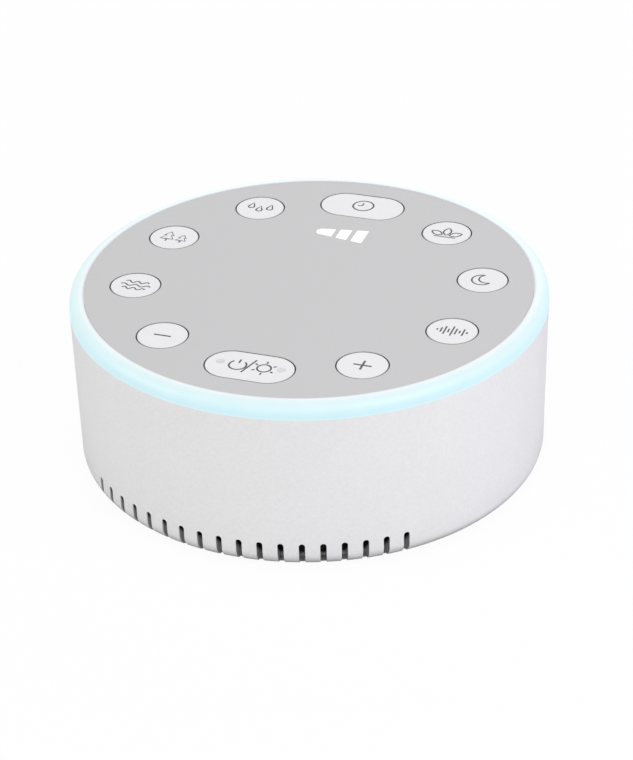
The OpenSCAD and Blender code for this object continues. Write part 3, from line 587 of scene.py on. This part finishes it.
def power_icon():
    """A power sign, a slash and a lamp sign."""
    power_x, power_y, power_r = -2.8, 0.05, 1.95
    lamp_x, lamp_y, lamp_r = 3.25, 0.25, 1.55
    lines = [arc(power_x, power_y, power_r, 130, 410), [(power_x, 0.95), (power_x, 2.45)],
             [(-1.1, -2.7), (0.6, 3.1)]]
    for ray in range(6):
        turn = math.radians(30 + 60 * ray)
        reach = (lamp_r + 0.5, lamp_r + 1.3)
        lines.append([(lamp_x + r * math.cos(turn), lamp_y + r * math.sin(turn)) for r in reach])
    return lines, [arc(lamp_x, lamp_y, lamp_r, 0, 350, 35)]


def timer_icon():
    """A clock face with two hands."""
    x, y = 0.15, 0.3
    return [[(x - 0.25, y + 1.3), (x - 0.25, y), (x - 1.35, y)]], [arc(x, y, 2.48, 0, 350, 35)]


def plus_icon():
    """A plus sign."""
    return [[(-2.1, 0), (2.1, 0)], [(0, -1.95), (0, 1.95)]], []


def minus_icon():
    """A minus sign."""
    return [[(-2, 0), (2, 0)]], []


def noise_icon():
    """A row of bars, like a sound's trace."""
    halves = [0.35, 1.0, 1.75, 0.8, 2.1, 1.3, 0.6, 1.5, 0.4]
    pitch = 0.85
    first = -pitch * (len(halves) - 1) / 2
    bars = []
    for i, half in enumerate(halves):
        x = first + pitch * i
        bars.append([(x, -half), (x, half)])
    return bars, []


def calm_icon():
    """A crescent: a full arc, and a second one that cuts into it."""
    outer_r, inner_r, shift = 2.3, 1.85, 1.25
    meet = math.degrees(math.acos((outer_r**2 + shift**2 - inner_r**2) / (2 * outer_r * shift)))
    inner = math.degrees(math.acos((outer_r**2 - inner_r**2 - shift**2) / (2 * inner_r * shift)))
    back = arc(0, 0, outer_r, meet, 360 - meet, 36)
    hollow = arc(shift, 0, inner_r, 360 - inner, inner, 24)
    return [], [placed(back + hollow[1:-1], -0.2, 0, 30)]


def petal(length, half_width, steps=12):
    """The outline of a petal whose base is at 0, 0."""
    side = [(half_width * math.sin(math.pi * step / steps) ** 0.8, length * (1 - step / steps))
            for step in range(steps + 1)]
    return mirrored(side)


def relax_icon():
    """An open flower of three petals over a still line."""
    flower = [placed(petal(length, 0.9), x, -1.1, turn)
              for length, x, turn in ((3.5, 0, 0), (3.1, 0.9, -62), (3.1, -0.9, 62))]
    return [[(-2.6, -2.0), (2.6, -2.0)]], flower


def rain_icon():
    """Three drops."""
    radius = 0.72
    lean = 55
    drop = [(0, 1.75)] + arc(0, -0.2, radius, 90 - lean, -270 + lean, 20)
    return [], [placed(drop, x, y) for x, y in ((-2.3, 0.5), (0, -0.7), (2.3, 0.5))]


def forest_icon():
    """Two fir trees."""
    fir = mirrored([(0, 2.3), (1.15, 0.6), (0.55, 0.6), (1.55, -1.2), (0, -1.2)])
    trees = [placed(fir, -1.5, 0.1), placed(fir, 2.0, -0.25, 0, 0.8)]
    return [[(-1.5, -1.1), (-1.5, -2.2)], [(2.0, -1.2), (2.0, -2.2)]], trees


def ocean_icon():
    """Three rows of waves."""
    return [wave(0, y, length, 0.42, 2.5) for y, length in ((1.5, 5.6), (0, 7.2), (-1.5, 5.6))], []


def make_legend(key, lines, outlines, width):
    """Prints lines and closed outlines, flat and thin, on the cap of a key."""
    curve = bpy.data.curves.new("legend", "CURVE")
    curve.dimensions = "3D"
    curve.bevel_depth = width / 2
    curve.bevel_resolution = 3
    curve.use_fill_caps = True
    for points, closed in [(line, False) for line in lines] + [(line, True) for line in outlines]:
        spline = curve.splines.new("POLY")
        spline.points.add(len(points) - 1)
        for point, (x, y) in zip(spline.points, points):
            point.co = (x, y, 0, 1)
        spline.use_cyclic_u = closed
    drawn = bpy.data.objects.new("legend", curve)
    bpy.context.scene.collection.objects.link(drawn)
    bpy.context.view_layer.update()
    depsgraph = bpy.context.evaluated_depsgraph_get()
    mesh = bpy.data.meshes.new_from_object(drawn.evaluated_get(depsgraph))
    bpy.data.objects.remove(drawn)
    low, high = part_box("key_" + key)
    place = Matrix.Translation(((low.x + high.x) / 2, (low.y + high.y) / 2, high.z))
    mesh.transform(place @ Matrix.Diagonal((MM, MM, MM * STROKE_FLATNESS, 1)))
    mesh.materials.clear()
    mesh.materials.append(INK_FINISH)
    for face in mesh.polygons:
        face.use_smooth = True
    legend = bpy.data.objects.new("legend_" + key, mesh)
    bpy.context.scene.collection.objects.link(legend)
    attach(legend, key + "_key")


LEGENDS = {
    "power": (power_icon, STROKE),
    "plus": (plus_icon, BOLD_STROKE),
    "noise": (noise_icon, FINE_STROKE),
    "calm": (calm_icon, FINE_STROKE),
    "relax": (relax_icon, FINE_STROKE),
    "timer": (timer_icon, STROKE),
    "rain": (rain_icon, FINE_STROKE),
    "forest": (forest_icon, FINE_STROKE),
    "ocean": (ocean_icon, FINE_STROKE),
    "minus": (minus_icon, BOLD_STROKE),
}
for key_name, (icon, stroke_width) in LEGENDS.items():
    make_legend(key_name, *icon(), stroke_width)

# ---- Two status lenses in the power key ----

LENS_R = 0.85
LENS_RISE = 0.07
LENS_STEPS = 8
LENS_TIP_R = 0.001
LENS_TIP_RISE = 0.004
LENS_RIM_W = 0.14
LENS_RIM_CREST = (0.04, 0.01)
LENS_RIM_SUNK = 0.02
LENS_PLACES = {"left": (-7.0, 0.55), "right": (7.1, 0.6)}


def revolved(name, profile, centre, finish, body, segments=48):
    """A piece from a profile of radii and heights, in millimetres, turned about an upright line."""
    vertices = []
    faces = []
    count = len(profile)
    for turn in range(segments):
        angle = 2 * math.pi * turn / segments
        for radius, height in profile:
            vertices.append((centre.x + radius * MM * math.cos(angle),
                             centre.y + radius * MM * math.sin(angle),
                             centre.z + height * MM))
        here = turn * count
        after = (turn + 1) % segments * count
        for row in range(count - 1):
            faces.append((here + row, after + row, after + row + 1, here + row + 1))
    mesh = bpy.data.meshes.new(name)
    mesh.from_pydata(vertices, [], faces)
    mesh.materials.append(finish)
    for face in mesh.polygons:
        face.use_smooth = True
    piece = bpy.data.objects.new(name, mesh)
    bpy.context.scene.collection.objects.link(piece)
    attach(piece, body)


def make_lens(side, x, y):
    """A shallow dish in a thin rim, set in the power key's cap, both painted grey as painted shade,
    the rim darker.
    """
    low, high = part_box("key_power")
    centre = Vector(((low.x + high.x) / 2 + x * MM, (low.y + high.y) / 2 + y * MM, high.z))
    shares = [1 - step / LENS_STEPS for step in range(LENS_STEPS + 1)]
    dish = [(LENS_R * share + LENS_TIP_R, LENS_RISE * share**2 + LENS_TIP_RISE) for share in shares]
    revolved("lens_" + side, dish, centre, LENS_SHADE_FINISH, "power_key")
    crest = (LENS_R + LENS_RIM_CREST[0], LENS_RISE + LENS_RIM_CREST[1])
    rim = [(LENS_R, LENS_RISE), crest, (LENS_R + LENS_RIM_W, -LENS_RIM_SUNK)]
    revolved("lens_rim_" + side, rim, centre, LENS_RIM_SHADE_FINISH, "power_key")


for lens_side, (lens_x, lens_y) in LENS_PLACES.items():
    make_lens(lens_side, lens_x, lens_y)

# ---- Floor, world and lamps ----

FLOOR_HALF = 20
# What the floor sends back to the object, near it and away from it; near the object it is painted
# dark, a painted shade for the object's lower edge that the camera doesn't see
FLOOR_NEAR_SHADE_GREY = (0.1, 0.1, 0.1)
FLOOR_FAR_GREY = (0.7, 0.7, 0.7)
FLOOR_FAR_FADE = (54, 61)
# What the camera sees: mostly an even white, and a share of lit white with its shadow. Below the
# object there is only the lit white.
FLOOR_WHITE = (0.98, 0.98, 0.98)
FLOOR_EVEN_SHARE = 0.95
FLOOR_OPEN_FADE = (50.0, 50.4)
ROOM_LEVEL = 0.605
# Azimuth and elevation in degrees, distance and size in metres, power in watts, and colour
LAMPS = {
    "right_lamp": (65, 38, 1.2, 0.9, 5.5, (0.975, 0.965, 1.0)),
    "left_lamp": (-60, 20, 1.4, 1.0, 4.4, (1.0, 0.995, 0.955)),
    "front_lamp": (12, 18, 1.4, 1.0, 1.55, (1.0, 1.0, 1.0)),
    "back_lamp": (190, 22, 1.4, 1.0, 2.0, (1.0, 1.0, 1.0)),
    "side_lamp": (115, 15, 1.4, 1.0, 1.6, (0.55, 0.55, 1.0)),
}


def make_floor():
    """A pale floor that the camera sees as white, but for the object's shadow."""
    mesh = bpy.data.meshes.new("floor")
    corners = [(x * FLOOR_HALF, y * FLOOR_HALF, 0) for x, y in ((-1, -1), (1, -1), (1, 1), (-1, 1))]
    mesh.from_pydata(corners, [], [(0, 1, 2, 3)])
    floor = bpy.data.objects.new("floor", mesh)
    bpy.context.scene.collection.objects.link(floor)
    made = Finish("floor_white")
    seen = made.nodes.new("ShaderNodeLightPath").outputs["Is Camera Ray"]
    matt = made.nodes.new("ShaderNodeBsdfDiffuse")
    # Painted shade: near the object the floor sends back little light
    away = made.step(made.radius(), *FLOOR_FAR_FADE)
    bounce = made.mix(away, FLOOR_NEAR_SHADE_GREY, FLOOR_FAR_GREY)
    made.put(made.mix(seen, bounce, FLOOR_WHITE), matt.inputs["Color"])
    glow = made.nodes.new("ShaderNodeEmission")
    mix = made.nodes.new("ShaderNodeMixShader")
    even = made.math("MULTIPLY", seen, FLOOR_EVEN_SHARE)
    open_floor = made.step(made.radius(), *FLOOR_OPEN_FADE)
    made.put(made.math("MULTIPLY", even, open_floor), mix.inputs["Fac"])
    made.put(matt.outputs["BSDF"], mix.inputs[1])
    made.put(glow.outputs["Emission"], mix.inputs[2])
    made.put(mix.outputs["Shader"], made.nodes["Material Output"].inputs["Surface"])
    made.nodes.remove(made.shader)
    mesh.materials.append(made.material)


def make_world():
    """An even pale room that the camera, gloss and glass see as white."""
    world = bpy.data.worlds.new("studio")
    bpy.context.scene.world = world
    world.use_nodes = True
    nodes = world.node_tree.nodes
    links = world.node_tree.links
    nodes.clear()
    room = nodes.new("ShaderNodeBackground")
    room.inputs["Color"].default_value = (1, 1, 1, 1)
    room.inputs["Strength"].default_value = ROOM_LEVEL
    white = nodes.new("ShaderNodeBackground")
    white.inputs["Color"].default_value = (1, 1, 1, 1)
    path = nodes.new("ShaderNodeLightPath")
    seen = path.outputs["Is Camera Ray"]
    for ray in ("Is Glossy Ray", "Is Transmission Ray"):
        either = nodes.new("ShaderNodeMath")
        either.operation = "MAXIMUM"
        links.new(seen, either.inputs[0])
        links.new(path.outputs[ray], either.inputs[1])
        seen = either.outputs["Value"]
    mix = nodes.new("ShaderNodeMixShader")
    links.new(seen, mix.inputs["Fac"])
    links.new(room.outputs["Background"], mix.inputs[1])
    links.new(white.outputs["Background"], mix.inputs[2])
    links.new(mix.outputs["Shader"], nodes.new("ShaderNodeOutputWorld").inputs["Surface"])


def make_lamp(name, azimuth, elevation, distance, size, power, colour):
    """A square soft lamp aimed at the object."""
    turn = math.radians(azimuth)
    lift = math.radians(elevation)
    level = math.cos(lift)
    back = Vector((math.sin(turn) * level, -math.cos(turn) * level, math.sin(lift)))
    data = bpy.data.lights.new(name, "AREA")
    data.size = size
    data.energy = power
    data.color = colour
    lamp = bpy.data.objects.new(name, data)
    lamp.location = back * distance
    lamp.rotation_mode = "QUATERNION"
    lamp.rotation_quaternion = back.to_track_quat("Z", "Y")
    bpy.context.scene.collection.objects.link(lamp)


make_floor()
make_world()
for lamp_name, lamp_values in LAMPS.items():
    make_lamp(lamp_name, *lamp_values)
bpy.context.scene.view_settings.view_transform = "Standard"
